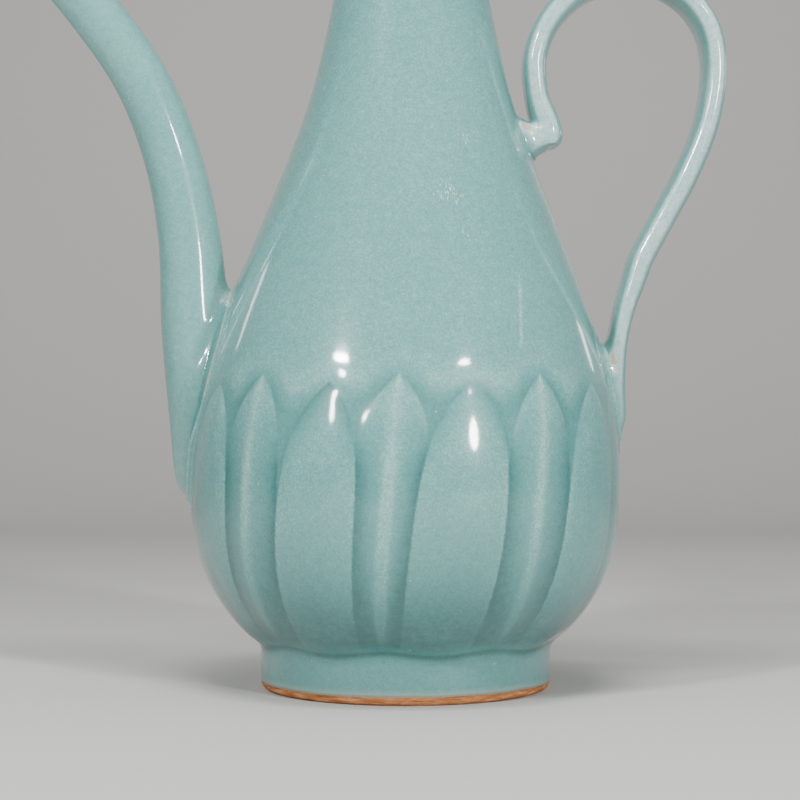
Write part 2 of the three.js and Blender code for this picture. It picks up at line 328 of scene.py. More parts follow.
def bell(away, spread):
    """1 at the middle, falling softly with the distance from it."""
    return np.exp(-((away / spread) ** 2))


def place(points):
    """Points in the bottle's millimetres as metres in the row frame."""
    points = np.asarray(points, float)
    moved = points * MM
    moved[..., 0] += AXIS_X
    moved[..., 2] += FOOT_HEIGHT * MM
    return moved


# Bottle surface


def outer_radius(height):
    """Radius of the plain outline."""
    height = np.asarray(height, float)
    below = np.clip(1 - height / BELLY_HEIGHT, 0, 1)
    radius = BELLY_RADIUS - (BELLY_RADIUS - JOINT_RADIUS) * below**LOW_BELLY_FULLNESS
    full = (1 - CREASE_SPAN / BELLY_HEIGHT) ** LOW_BELLY_FULLNESS
    rising = np.clip((height - CREASE_HEIGHT) / (CREASE_SPAN - CREASE_HEIGHT), 0, 1)
    crease = JOINT_RADIUS + (BELLY_RADIUS - JOINT_RADIUS) * (1 - full) * rising**CREASE_BEND
    radius = np.where(height < CREASE_SPAN, crease, radius)
    for (h0, r0, m0), (h1, r1, m1) in zip(OUTLINE, OUTLINE[1:]):
        t = np.clip((height - h0) / (h1 - h0), 0, 1)
        eased = r0 + (r1 - r0) * t * t * (3 - 2 * t)
        eased += (h1 - h0) * (m0 * t * (1 - t) ** 2 + m1 * t * t * (t - 1))
        radius = np.where(height > h0, eased, radius)
    return radius


def foot_radius(height):
    """Radius of the foot ring, rounded at its lower edge."""
    up = height + FOOT_HEIGHT
    risen = np.clip(up / (FOOT_EDGE * FOOT_EDGE_TALLER), 0, 1)
    rounding = 1 - np.sqrt(1 - (1 - risen) ** 2)
    return FOOT_RADIUS + FOOT_GLAZE - FOOT_EDGE * rounding


def lean(height):
    """How far the axis has drifted towards the handle."""
    return NECK_LEAN * smoothstep(np.asarray(height, float), *LEANING)


def petal_width(below, half):
    """Half width of a petal at a distance below its tip."""
    return half * (1 - np.exp(-np.maximum(below, 0) / TIP_LENGTH))


def petal_levels(angle, height):
    """Depth of the petals, and where they lie, at an angle from -Y towards +X."""
    turned = angle - PETAL_TURN - PETAL_LEAN * (1 - height / BACK_TIP)
    cell = np.floor(turned / (2 * HALF_PITCH) + 0.5)
    aside = turned - cell * 2 * HALF_PITCH
    stray = (np.array(STRAYING) * (*[math.pi / 180] * 3, 1))[cell.astype(int) % PETAL_PAIRS]
    shift = stray[..., 1] + (stray[..., 0] - stray[..., 1]) * height / BACK_TIP
    away = np.abs(aside - shift)
    to_back = HALF_PITCH - np.abs(aside)
    front = petal_width(FRONT_TIP - height, FRONT_HALF + stray[..., 2])
    back = petal_width(BACK_TIP - height, BACK_HALF)
    room = HALF_PITCH - np.sign(aside) * shift - front
    front_level = -PETAL_CROWN * (away / np.maximum(front, TIP_WIDTH * FRONT_HALF)) ** 2
    front_level -= stray[..., 3] * bell(FRONT_TIP - height, TIP_RISE)
    edge = BACK_OUTLINE_DROP + (PETAL_STEP - BACK_OUTLINE_DROP) * smoothstep(
        BACK_TIP - height, VALLEY_START, VALLEY_LENGTH
    )
    across = to_back / np.maximum(np.minimum(back, room), 1e-6)
    back_level = -edge * across**VALLEY_ROUNDING
    on_front = away < front
    on_petal = on_front | (to_back < back)
    return np.where(on_front, front_level, np.where(on_petal, back_level, 0)), on_petal


def blurred(grid, radius, spread, step):
    """A grid of rows of height and columns of angle, smoothed over a distance."""
    waves = np.arange(grid.shape[1] // 2 + 1)
    spectrum = np.fft.rfft(grid, axis=1)
    spectrum *= np.exp(-0.5 * (waves[None, :] * spread / radius[:, None]) ** 2)
    smooth = np.fft.irfft(spectrum, n=grid.shape[1], axis=1)
    reach = int(math.ceil(3 * spread / step))
    kernel = np.exp(-0.5 * (np.arange(-reach, reach + 1) * step / spread) ** 2)
    kernel /= kernel.sum()
    padded = np.pad(smooth, ((reach, reach), (0, 0)), mode="reflect", reflect_type="odd")
    return sum(
        weight * padded[i : i + grid.shape[0]] for i, weight in enumerate(kernel)
    )


def ring_angles(columns):
    return np.arange(columns) * 2 * math.pi / columns


def carved_grids():
    """Clay and glaze radii of foot and belly, and how thick the glaze lies on the carving."""
    foot_rows = int(round(FOOT_HEIGHT / ROW_STEP))
    step = FOOT_HEIGHT / foot_rows
    heights = np.arange(-foot_rows, int(CARVED_TOP / step) + 1) * step
    angles = ring_angles(COLUMNS)
    plain = np.where(heights < 0, foot_radius(heights), outer_radius(heights))
    petals = np.zeros((len(heights), COLUMNS))
    cover = np.zeros_like(petals)
    offsets = (-1 / 3, 0, 1 / 3)
    for up in offsets:
        for aside in offsets:
            high = heights[:, None] + up * step
            angle = angles[None, :] + aside * 2 * math.pi / COLUMNS
            depth, there = petal_levels(angle, high)
            petals += depth / len(offsets) ** 2
            cover += there / len(offsets) ** 2
    near = blurred(cover, plain, GROUND_SPREAD, step)
    ground = -GROUND_DEPTH * smoothstep(near, *GROUND_COVER)
    from_luting = np.abs((angles[None, :] + math.pi) % math.pi - math.pi / 2)
    worked = 1 - smoothstep(from_luting, *WORKED_ANGLES)
    low = smoothstep(heights, CREASE_HEIGHT, CREASE_HEIGHT + PETAL_FOOT)
    share = low[:, None] * (1 - WORKED_SHARE * worked)
    relief = (petals + (1 - cover) * ground) * share
    level = blurred(relief, plain, GLAZE_LEVELLING, step) * GLAZE_FILL
    soft = blurred(np.repeat(plain[:, None], 8, axis=1), plain, GLAZE_LEVELLING, step)[:, 0]
    fillet_share = smoothstep(heights + FOOT_HEIGHT, *FOOT_FILLET)
    smooth = plain + (soft - plain) * fillet_share
    relief = (petals + (1 - cover) * ground * GROUND_POOL) * share
    narrow = blurred(relief, plain, NARROW_POOL, step) - relief
    relief = -PETAL_STEP * (np.maximum(-relief, 0) / PETAL_STEP) ** POOL_BEND
    wide = blurred(relief, plain, WIDE_POOL, step) - relief
    corner = np.maximum(soft - plain, 0) * fillet_share
    pool = NARROW_SHARE * narrow + WIDE_SHARE * wide - RELIEF_SHARE * relief
    pool = np.where(pool < 0, np.maximum(THIN_GAIN * pool, THINNEST), POOL_GAIN * pool)
    pool += CORNER_POOL * corner[:, None]
    radius = smooth[:, None] + level
    near_crease = bell(heights - CREASE_HEIGHT, CREASE_WAVE_REACH)
    for column, angle in enumerate(angles):
        wave = CREASE_WAVE * math.cos(PETAL_PAIRS * (angle - PETAL_TURN - PETAL_LEAN))
        moved = heights + wave * near_crease
        radius[:, column] = np.interp(moved, heights, radius[:, column])
        pool[:, column] = np.interp(moved, heights, pool[:, column])
    return heights, step, radius, pool


CARVED_HEIGHTS, CARVED_STEP, CARVED_RADIUS, CARVED_POOL = carved_grids()


def on_grid(grid, height, angle):
    """A value of a carved grid between its rows and columns."""
    row = np.clip((height - CARVED_HEIGHTS[0]) / CARVED_STEP, 0, len(CARVED_HEIGHTS) - 1.001)
    column = (angle / (2 * math.pi) * COLUMNS) % COLUMNS
    i, k = row.astype(int), column.astype(int) % COLUMNS
    u, v = row - i, column - column.astype(int)
    k1 = (k + 1) % COLUMNS
    low = grid[i, k] * (1 - v) + grid[i, k1] * v
    high = grid[i + 1, k] * (1 - v) + grid[i + 1, k1] * v
    return low * (1 - u) + high * u


def plain_share(height):
    """How far the plain outline has taken over above the carving."""
    return smoothstep(height, CARVED_TOP - CARVED_FADE, CARVED_TOP - 1)


def bottle_radius(height, angle):
    carved = on_grid(CARVED_RADIUS, height, angle)
    return carved + (outer_radius(height) - carved) * plain_share(height)


def bottle_distance(points):
    """Distance from the bottle's glazed surface, below 0 inside it."""
    x = points[..., 0] - lean(points[..., 2])
    y = points[..., 1]
    height = points[..., 2]
    angle = np.arctan2(x, -y) % (2 * math.pi)
    slope = (outer_radius(height + 1) - outer_radius(height - 1)) / 2
    return (np.hypot(x, y) - bottle_radius(height, angle)) / np.hypot(1, slope)


# Swept pieces


def catmull_rom(points, shares, centripetal):
    """A smooth curve through points, at shares of its stations."""
    points = np.asarray(points, float)
    count = len(points) - 1
    ends = [2 * points[0] - points[1], *points, 2 * points[-1] - points[-2]]
    result = []
    for share in shares:
        i = min(int(share * count), count - 1)
        t = share * count - i
        p0, p1, p2, p3 = ends[i : i + 4]
        if centripetal:
            d0, d1, d2 = (
                max(np.linalg.norm(b - a), 1e-6) ** 0.5
                for a, b in ((p0, p1), (p1, p2), (p2, p3))
            )
            m1 = d1 * ((p1 - p0) / d0 - (p2 - p0) / (d0 + d1) + (p2 - p1) / d1)
            m2 = d1 * ((p2 - p1) / d1 - (p3 - p1) / (d1 + d2) + (p3 - p2) / d2)
        else:
            m1, m2 = (p2 - p0) / 2, (p3 - p1) / 2
        t2, t3 = t * t, t * t * t
        result.append(
            (2 * t3 - 3 * t2 + 1) * p1
            + (t3 - 2 * t2 + t) * m1
            + (3 * t2 - 2 * t3) * p2
            + (t3 - t2) * m2
        )
    return np.array(result)


class Sweep:
    """A tube through stations of x, height, half depth and half width, in the XZ plane."""

    def __init__(self, stations, edge=1.0, samples=400):
        stations = np.asarray(stations, float)
        shares = np.linspace(0, 1, samples)
        self.edge = edge
        self.centres = catmull_rom(stations[:, :2], shares, True)
        self.sizes = catmull_rom(stations[:, 2:], shares, False)
        along = np.gradient(self.centres, axis=0)
        self.along = along / np.linalg.norm(along, axis=1)[:, None]
        steps = np.linalg.norm(np.diff(self.centres, axis=0), axis=1)
        self.lengths = np.concatenate([[0], np.cumsum(steps)])

    def at(self, length):
        """Centre, direction and size of the section at a length along the tube."""

        def between(values):
            columns = [np.interp(length, self.lengths, column) for column in values.T]
            return np.stack(columns, axis=-1)

        return between(self.centres), between(self.along), between(self.sizes)

    def rings(self, lengths, corners, inset=0.0):
        """Surface points and outward directions, one ring for each length."""
        centre, along, size = self.at(np.asarray(lengths, float))
        turn = -2 * math.pi * np.arange(corners) / corners
        c, s = np.cos(turn), np.sin(turn)
        rounded_c = np.sign(c) * np.abs(c) ** self.edge
        rounded_s = np.sign(s) * np.abs(s) ** self.edge
        depth = np.maximum(size[:, :1] - inset, 0.01)
        width = np.maximum(size[:, 1:] - inset, 0.01)
        across = depth * rounded_c
        x = centre[:, :1] - along[:, 1:] * across
        z = centre[:, 1:] + along[:, :1] * across
        points = np.stack([x, width * rounded_s, z], axis=-1)
        power = 2 / self.edge - 1
        grow_c = np.sign(c) * np.abs(rounded_c) ** power / depth
        grow_s = np.sign(s) * np.abs(rounded_s) ** power / width
        size_n = np.hypot(grow_c, grow_s)
        grow_c, grow_s = grow_c / size_n, grow_s / size_n
        outward = np.stack([-along[:, 1:] * grow_c, grow_s, along[:, :1] * grow_c], axis=-1)
        return points, outward

    def distance(self, points):
        """Distance from the tube's surface, below 0 inside it."""
        shape = points.shape[:-1]
        flat = points.reshape(-1, 3)
        result = np.empty(len(flat))
        for start in range(0, len(flat), POINTS_AT_ONCE):
            part = flat[start : start + POINTS_AT_ONCE]
            gaps = part[:, None, (0, 2)] - self.centres[None]
            nearest = np.argmin((gaps**2).sum(-1), axis=1)
            gap = gaps[np.arange(len(part)), nearest]
            along = self.along[nearest]
            depth, width = self.sizes[nearest].T
            across = gap[:, 1] * along[:, 0] - gap[:, 0] * along[:, 1]
            power = 2 / self.edge
            u, v = np.abs(across) / depth, np.abs(part[:, 1]) / width
            full = np.maximum((u**power + v**power) ** (1 / power), 1e-3)
            grow = np.hypot(
                (u / full) ** (power - 1) / depth, (v / full) ** (power - 1) / width
            )
            away = (full - 1) / np.maximum(grow, 1e-3)
            past = (gap * along).sum(1)
            at_end = nearest == len(self.centres) - 1
            past = np.where(nearest == 0, -past, np.where(at_end, past, 0))
            beyond = np.hypot(np.maximum(away, 0), past)
            result[start : start + POINTS_AT_ONCE] = np.where(past > 0.5, beyond, away)
        return result.reshape(shape)


def joined(own, other, blend):
    """Distance from two forms, with the corner between them filled in."""
    near = np.clip(1 - np.abs(own - other) / blend, 0, None)
    return np.minimum(own, other) - near * near * blend / 4


def fillet(points, outward, other, blend):
    """How far to move points of a surface so that it runs smoothly into another form."""
    moved = np.zeros(points.shape[:-1])
    start = other(points)
    near = (start < blend) & (start > 0)
    spot, way = points[near], outward[near]
    shift = np.zeros(len(spot))
    furthest = blend * FILLET_REACH
    for _ in range(FILLET_STEPS):
        gap = joined(shift, other(spot + way * shift[:, None]), blend)
        shift = np.clip(shift - FILLET_EASE * gap, 0, furthest)
    moved[near] = shift
    inside = start <= 0
    moved[inside] = furthest * np.clip(1 + 2 * start[inside] / blend, 0, 1)
    return moved


def fillet_pool(shift, blend):
    """How much deeper the glaze lies where a fillet moved the surface."""
    return FILLET_POOL * shift / (blend * 0.25)


# Meshes


def grid_normals(points):
    """Outward directions on rings of points, from their neighbours along and across."""
    along = np.roll(points, -1, axis=1) - np.roll(points, 1, axis=1)
    up = np.gradient(points, axis=0)
    normals = np.cross(along, up)
    return normals / np.maximum(np.linalg.norm(normals, axis=-1, keepdims=True), 1e-9)


def strip_faces(low, high):
    """Faces between two rings of point numbers; the upper one may have half as many."""
    beside_low, beside_high = np.roll(low, -1), np.roll(high, -1)
    if len(low) == len(high):
        return np.stack([low, beside_low, beside_high, high], axis=-1).tolist()
    pairs = low.reshape(-1, 2)
    after = np.roll(pairs[:, 0], -1)
    return np.stack([pairs[:, 0], pairs[:, 1], after, beside_high, high], axis=-1).tolist()


def fan_faces(middle, ring):
    """Faces from a middle point to a ring of point numbers."""
    return [(middle, a, b) for a, b in zip(ring.tolist(), np.roll(ring, -1).tolist())]


def skin_mesh(name, rings, glaze, normals=None, loop=False, first=None, last=None):
    """A closed mesh over rings of points, with the glaze's thickness, painted shade included, on
    its points.
    """
    sizes = [len(ring) for ring in rings]
    starts = np.concatenate([[0], np.cumsum(sizes)])
    index = [np.arange(a, b) for a, b in zip(starts, starts[1:])]
    ends = [np.reshape(end, (1, 3)) for end in (first, last) if end is not None]
    points = np.concatenate([*rings, *ends])
    faces = []
    for low, high in zip(index, index[1:]):
        faces += strip_faces(low, high)
    if loop:
        faces += strip_faces(index[-1], index[0])
    if first is not None:
        faces += [(middle, b, a) for middle, a, b in fan_faces(starts[-1], index[0])]
    if last is not None:
        faces += fan_faces(len(points) - 1, index[-1])
    mesh = bpy.data.meshes.new(name)
    mesh.from_pydata(place(points).tolist(), [], faces)
    mesh.shade_smooth()
    store(mesh, "glaze", np.concatenate([np.zeros(0), *(np.ravel(part) for part in glaze)]))
    if normals is not None:
        custom = np.zeros((len(points), 3))
        custom[: len(normals)] = normals
        mesh.normals_split_custom_set_from_vertices(custom.tolist())
    return mesh


def store(mesh, name, values):
    """Values kept on a mesh's points, 0 on the points after them."""
    full = np.zeros(len(mesh.vertices), np.float32)
    full[: len(values)] = values
    mesh.attributes.new(name, "FLOAT", "POINT").data.foreach_set("value", full)


def in_scene(name, data):
    """A new object of a mesh, light or camera, put in the scene."""
    made = bpy.data.objects.new(name, data)
    bpy.context.scene.collection.objects.link(made)
    return made


def new_piece(mesh, body, slot, material, *nodes):
    """Put a mesh in the scene as a piece that rides on a body and stands for CAD nodes."""
    piece = in_scene(mesh.name, mesh)
    mesh.materials.append(material)
    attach(piece, body)
    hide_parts(*nodes)


def turned_rings(radius, heights, columns, leaned=True):
    """Rings round the axis, at radii that may differ along each ring."""
    radius, heights = np.asarray(radius, float), np.asarray(heights, float)
    angles = ring_angles(columns)
    if radius.ndim == 1:
        radius = np.repeat(radius[:, None], columns, axis=1)
    x = radius * np.sin(angles) + (lean(heights)[:, None] if leaned else 0)
    y = -radius * np.cos(angles)
    z = np.repeat(heights[:, None], columns, axis=1)
    return np.stack([x, y, z], axis=-1)


# Materials


def linear(red, green, blue):
    """A colour as the shader takes it, from its values on a screen."""

    def channel(value):
        value /= 255
        return value / 12.92 if value <= 0.04045 else ((value + 0.055) / 1.055) ** 2.4

    return (channel(red), channel(green), channel(blue), 1)


class Nodes:
    """Short helpers for building a material's nodes."""

    def __init__(self, material):
        material.use_nodes = True
        self.tree = material.node_tree
        self.tree.nodes.clear()

    def add(self, kind, inputs=None, **settings):
        node = self.tree.nodes.new(kind)
        for name, value in settings.items():
            setattr(node, name, value)
        for name, value in (inputs or {}).items():
            socket = node.inputs[name]
            if isinstance(value, bpy.types.NodeSocket):
                self.tree.links.new(value, socket)
            else:
                socket.default_value = value
        return node

    def math(self, operation, a, b=0.0, clamp=False):
        node = self.add("ShaderNodeMath", {0: a, 1: b}, operation=operation, use_clamp=clamp)
        return node.outputs[0]

    def scaled(self, value, factor, added, clamp=False):
        """The value times a factor, plus a number."""
        inputs = {0: value, 1: factor, 2: added}
        node = self.add("ShaderNodeMath", inputs, operation="MULTIPLY_ADD", use_clamp=clamp)
        return node.outputs[0]

    def noise(self, vector, scale, detail=2.0, rough=0.5):
        inputs = {"Vector": vector, "Scale": scale, "Detail": detail, "Roughness": rough}
        return self.add("ShaderNodeTexNoise", inputs).outputs["Fac"]

    def stretched(self, vector, scale):
        """Coordinates in which a noise is drawn out where the scale is small."""
        node = self.add("ShaderNodeMapping", {"Vector": vector, "Scale": scale})
        return node.outputs["Vector"]

    def bump(self, height, strength, distance, **more):
        inputs = {"Height": height, "Strength": strength, "Distance": distance}
        return self.add("ShaderNodeBump", inputs, **more)

    def ramp(self, value, stops):
        node = self.add("ShaderNodeValToRGB", {"Fac": value})
        elements = node.color_ramp.elements
        while len(elements) < len(stops):
            elements.new(0.5)
        for element, (position, colour) in zip(elements, stops):
            element.position = position
            element.color = colour
        return node.outputs["Color"]

    def mix(self, share, a, b):
        node = self.add("ShaderNodeMix", {0: share, 6: a, 7: b}, data_type="RGBA")
        return node.outputs[2]


# Colour through rising depths of glaze: pale where the clay shows, teal where it pooled
GLAZE_COLOURS = [
    (0.0, (0.52, 0.61, 0.58, 1)),
    (0.15, (0.29, 0.465, 0.445, 1)),
    (0.3, (0.172, 0.363, 0.343, 1)),
    (0.45, (0.114, 0.292, 0.277, 1)),
    (0.65, (0.077, 0.228, 0.218, 1)),
    (0.85, (0.054, 0.17, 0.163, 1)),
    (1.0, (0.037, 0.118, 0.114, 1)),
]
USUAL_DEPTH = 0.43
DEPTH_PER_POOL = 0.3
CLOUD_DEPTH = 0.1
MOTTLE_DEPTH = 0.24
CLAY = (0.37, 0.30, 0.21, 1)
SCRATCH = linear(198, 212, 196)
SPECK = linear(205, 214, 204)
GLAZE_ROUGHNESS = 0.32
BARE_ROUGHNESS = 0.5

# Foot: the thin glaze above its bare edge, the rust line between them, and the fired clay
VEIL = linear(158, 158, 138)
FLASH = linear(96, 56, 34)
FOOT_CLAY = [
    (0.3, linear(118, 68, 36)),
    (0.5, linear(172, 112, 70)),
    (0.7, linear(204, 156, 116)),
]
BARE_WAVE = 0.0011

# Noises in the glaze and on the foot: scale, detail and roughness
CLOUDS = (22.0, 3.0)
MOTTLE = (420.0, 3.0, 0.6)
GRAIN = (1500.0, 2.0, 0.6)
CLAY_GRAINS = (1100.0, 3.0, 0.65)
SCRATCHES = (1700.0, 3.0, 0.6)
RIPPLES = (130.0, 1.0)
BARE_EDGE = (60.0, 3.0)
STREAKS = (700.0, 4.0, 0.7)


def glaze_colour(nodes, where, thickness, shade, speckle):
    """Colour of the glaze by its depth, with clouds, a mottle and a grain in it."""
    cloud = nodes.math("SUBTRACT", nodes.noise(where, *CLOUDS), 0.5)
    mottle = nodes.math("SUBTRACT", nodes.noise(where, *MOTTLE), 0.5)
    grain = nodes.math("SUBTRACT", nodes.noise(where, *GRAIN), 0.5)
    depth = nodes.scaled(thickness, DEPTH_PER_POOL, USUAL_DEPTH + shade)
    depth = nodes.math("ADD", depth, nodes.math("MULTIPLY", cloud, CLOUD_DEPTH))
    depth = nodes.math("ADD", depth, nodes.math("MULTIPLY", mottle, MOTTLE_DEPTH))
    shallow = nodes.scaled(thickness, -0.35, 1.0, clamp=True)
    grain = nodes.math("MULTIPLY", nodes.math("MULTIPLY", grain, speckle), shallow)
    depth = nodes.math("ADD", depth, grain, clamp=True)
    return nodes.ramp(depth, GLAZE_COLOURS)


def with_clay(nodes, where, thickness, colour):
    """The colour with clay showing in grains where the glaze is very thin."""
    thin = nodes.scaled(thickness, -1.6, -1.3)
    thin = nodes.math("ADD", thin, nodes.noise(where, *CLAY_GRAINS))
    shows = nodes.math("MULTIPLY", nodes.math("SUBTRACT", thin, 0.35), 4.0, clamp=True)
    return nodes.mix(nodes.math("MULTIPLY", shows, 0.75), colour, CLAY)


def with_scratches(nodes, where, colour):
    """The colour with fine pale scratches where the mesh is worn."""
    worn = nodes.add("ShaderNodeAttribute", attribute_name="worn").outputs["Fac"]
    scratch = nodes.noise(nodes.stretched(where, (1, 1, 0.25)), *SCRATCHES)
    scratch = nodes.math("ADD", scratch, nodes.math("MULTIPLY", worn, 0.25))
    scratch = nodes.math("MULTIPLY", nodes.math("SUBTRACT", scratch, 0.775), 12.0, clamp=True)
    scratch = nodes.math("MULTIPLY", scratch, nodes.math("MULTIPLY", worn, 8.0, clamp=True))
    return nodes.mix(nodes.math("MULTIPLY", scratch, 0.75), colour, SCRATCH)


def rare_specks(nodes, where):
    """Small round specks, in one cell out of seven."""
    cells = {"Vector": where, "Scale": 260.0, "Randomness": 1.0}
    specks = nodes.add("ShaderNodeTexVoronoi", cells, feature="F1")
    near = nodes.math("LESS_THAN", specks.outputs["Distance"], 0.07)
    chosen = nodes.add("ShaderNodeSeparateColor", {"Color": specks.outputs["Color"]})
    rare = nodes.math("GREATER_THAN", chosen.outputs["Red"], 0.86)
    return nodes.math("MULTIPLY", near, rare)


def bare_foot(nodes, where, colour, bare_height):
    """The colour with clay below a wavering edge, and how far the clay is bare."""
    up = nodes.add("ShaderNodeSeparateXYZ", {"Vector": where}).outputs["Z"]
    wave = nodes.noise(where, *BARE_EDGE)
    edge = nodes.scaled(wave, BARE_WAVE, bare_height - BARE_WAVE / 2)
    below = nodes.math("SUBTRACT", edge, up)
    flash = nodes.math("ADD", nodes.math("ABSOLUTE", below), -0.0003)
    flash = nodes.math("SUBTRACT", 1.0, nodes.math("MULTIPLY", flash, 2500.0, clamp=True))
    bare = nodes.math("MULTIPLY", below, 6000.0, clamp=True)
    streaks = nodes.noise(nodes.stretched(where, (0.2, 0.2, 1.5)), *STREAKS)
    veil = nodes.scaled(below, 420.0, 1.0, clamp=True)
    colour = nodes.mix(nodes.math("MULTIPLY", veil, 0.45), colour, VEIL)
    colour = nodes.mix(bare, colour, nodes.ramp(streaks, FOOT_CLAY))
    return nodes.mix(nodes.math("MULTIPLY", flash, 0.4), colour, FLASH), bare


def glaze_material(name, shade=0.0, speckle=0.34, bare_height=None):
    """Translucent celadon glaze: thin and pale on edges, deep where it pooled."""
    material = bpy.data.materials.new(name)
    nodes = Nodes(material)
    where = nodes.add("ShaderNodeTexCoord").outputs["Object"]
    # The glaze attribute is the glaze's depth, with painted shade added low on the belly and on
    # the strap's inner and outer faces
    thickness = nodes.add("ShaderNodeAttribute", attribute_name="glaze").outputs["Fac"]
    colour = glaze_colour(nodes, where, thickness, shade, speckle)
    colour = with_clay(nodes, where, thickness, colour)
    colour = with_scratches(nodes, where, colour)
    speck = rare_specks(nodes, where)
    colour = nodes.mix(nodes.math("MULTIPLY", speck, 0.45), colour, SPECK)
    ripple = nodes.bump(nodes.noise(where, *RIPPLES), 0.05, 0.0006)
    pinholes = nodes.bump(speck, 0.25, 0.0002, invert=True)
    nodes.tree.links.new(ripple.outputs["Normal"], pinholes.inputs["Normal"])
    roughness, coat = GLAZE_ROUGHNESS, 1.0
    if bare_height is not None:
        colour, bare = bare_foot(nodes, where, colour, bare_height)
        roughness = nodes.scaled(bare, BARE_ROUGHNESS, GLAZE_ROUGHNESS)
        coat = nodes.math("SUBTRACT", 1.0, bare)
    shader = nodes.add(
        "ShaderNodeBsdfPrincipled",
        {
            "Base Color": colour,
            "Roughness": roughness,
            "Specular IOR Level": 0.12,
            "Coat Weight": coat,
            "Coat Roughness": 0.08,
            "Coat IOR": 1.5,
            "Normal": pinholes.outputs["Normal"],
            "Coat Normal": pinholes.outputs["Normal"],
        },
    )
    nodes.add("ShaderNodeOutputMaterial", {"Surface": shader.outputs["BSDF"]})
    return material


# Pieces


def spout_line():
    return [
        (-(BELLY_RADIUS + reach), height, depth, width)
        for height, reach, depth, width in SPOUT_STATIONS
    ]


def strap_line():
    thick, wide = STRAP_THICKNESS / 2, STRAP_WIDTH / 2
    heel_x = float(outer_radius(HEEL_HEIGHT) + lean(HEEL_HEIGHT)) + HEEL_REACH
    loop_x, loop_h = heel_x + LOOP_ACROSS, HEEL_HEIGHT + LOOP_RISE
    heel = [
        (heel_x - back, HEEL_HEIGHT + up, thick * thicker, wide * wider)
        for back, up, thicker, wider in HEEL_STATIONS
    ]
    angles = [LOOP_START * (1 - i / LOOP_PARTS) for i in range(LOOP_PARTS + 1)]
    loop = [
        (
            loop_x + LOOP_RADIUS * math.cos(angle),
            loop_h + LOOP_RADIUS * math.sin(angle) + LOOP_SKEW * math.cos(angle),
            thick * (LOOP_START_THICKNESS if angle > math.pi else 1),
            wide,
        )
        for angle in angles
    ]
    side_x, side_h = loop[-1][:2]
    bend = [
        (
            side_x - LEG_BEND_RADIUS * (1 - math.cos(LEG_LEAN * share)),
            side_h - LEG_BEND_RADIUS * math.sin(LEG_LEAN * share),
            thick * (1 + (LEG_SWELL - 1) * share),
            wide,
        )
        for share in (0.5, 1)
    ]
    leg_x, leg_h = bend[-1][:2]
    leg = [
        (
            leg_x - LEG_LENGTH * share * math.sin(LEG_LEAN),
            leg_h - LEG_LENGTH * share * math.cos(LEG_LEAN),
            thick * LEG_SWELL,
            wide,
        )
        for share in (0.5, 1)
    ]
    tail = [
        (BELLY_RADIUS + reach, h, thick * thicker, wide * wider)
        for h, reach, thicker, wider in TAIL_STATIONS
    ]
    return heel + loop + bend + leg + tail


def stub_line():
    neck = float(outer_radius(STUB_HEIGHT) + lean(STUB_HEIGHT))
    return [
        (neck + reach, STUB_HEIGHT + up, tall, wide) for reach, up, tall, wide in STUB_STATIONS
    ]


LID_PLACE = np.array([float(lean(MOUTH_HEIGHT)), 0, MOUTH_HEIGHT + LID_SEAT])
spout = Sweep(spout_line())
strap = Sweep(strap_line(), edge=STRAP_EDGE, samples=700)
stub = Sweep(stub_line(), edge=STUB_EDGE)

# Pieces luted to the bottle: form, blend, where it meets the bottle in x and height, seam
LUTED = [
    (spout, SPOUT_BLEND, (-200, -45), (30, 150), SPOUT_SEAM),
    (strap, STRAP_BLEND, (45, 200), (50, 125), STRAP_SEAM),
    (stub, STUB_BLEND, (20, 70), (150, 195), None),
]


def near_spots(points, spots):
    """How much points share in soft round spots."""
    total = np.zeros(points.shape[:-1])
    for spot in spots:
        gap = np.linalg.norm(points - np.array(spot[:3]), axis=-1)
        total += spot[4] * bell(gap, spot[3])
    return np.clip(total, 0, 1)


def hairline(points):
    """A hairline in the front, where the glaze parted."""
    x, y, height = np.moveaxis(points, -1, 0)
    line = smoothstep(height, HAIRLINE_FROM - 3, HAIRLINE_FROM + 3)
    line *= 1 - smoothstep(height, HAIRLINE_TO - 3, HAIRLINE_TO + 3)
    return HAIRLINE_SHARE * bell(x - HAIRLINE_X, HAIRLINE_WIDTH) * line * (y < 0)


def worn_edge(points):
    """The bottle's side below the handle's stub, worn through to the clay."""
    x, y, height = np.moveaxis(points, -1, 0)
    share = smoothstep(height, WORN_EDGE_FROM - 6, WORN_EDGE_FROM + 6)
    share *= 1 - smoothstep(height, WORN_EDGE_TO - 6, WORN_EDGE_TO + 4)
    return WORN_EDGE_SHARE * bell(y - WORN_EDGE_Y, WORN_EDGE_WIDTH) * share * (x > 20)


